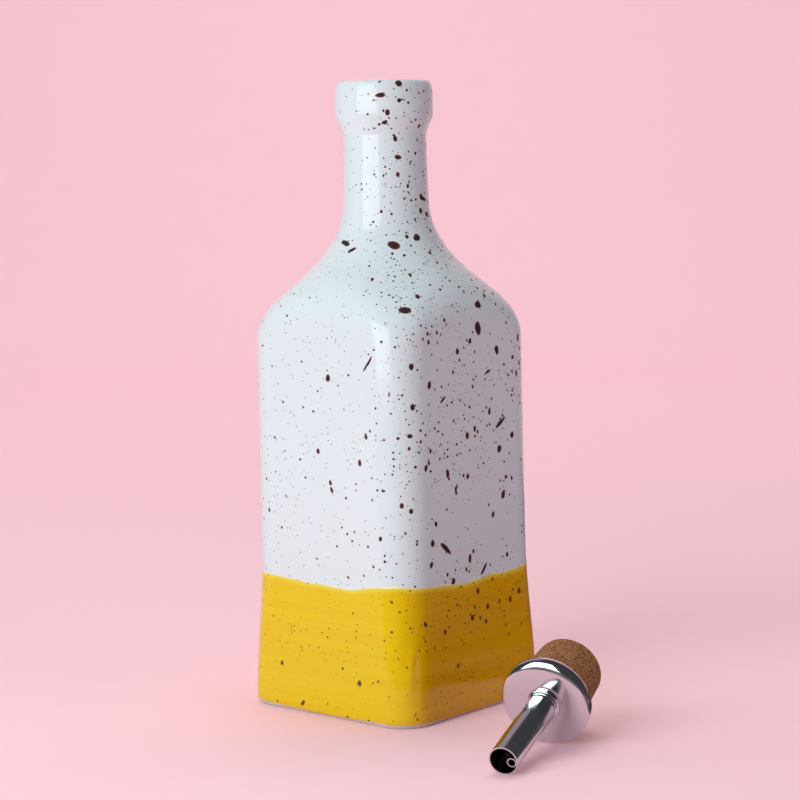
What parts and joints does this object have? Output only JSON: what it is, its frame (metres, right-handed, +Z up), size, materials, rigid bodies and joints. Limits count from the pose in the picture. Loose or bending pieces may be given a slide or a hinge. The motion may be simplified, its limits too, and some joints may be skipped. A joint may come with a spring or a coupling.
{
  "type": "oil bottle",
  "caption": "Square ceramic oil bottle with a round neck and a thick lip, with its metal pourer on a cork lying beside it.",
  "frame": {"origin": "centre of the bottle's underside, on the floor", "axes": "+Z up along the bottle's axis, X and Y across its flat sides; the pourer lies on the +X side with its spout pointing towards -Y"},
  "size_m": [0.1529, 0.1104, 0.24],
  "materials": {
    "bottle": "glossy speckled glaze, white above and yellow below",
    "pourer_cork": "pressed cork granules",
    "pourer_flange": "polished stainless steel",
    "pourer_spout": "polished stainless steel",
    "pourer_air_tube": "polished stainless steel"
  },
  "bodies": {
    "root": {"bottle": "bottle", "pourer_cork": "pourer_cork", "pourer_flange": "pourer_flange", "pourer_spout": "pourer_spout", "pourer_air_tube": "pourer_air_tube"}
  },
  "joints": []
}
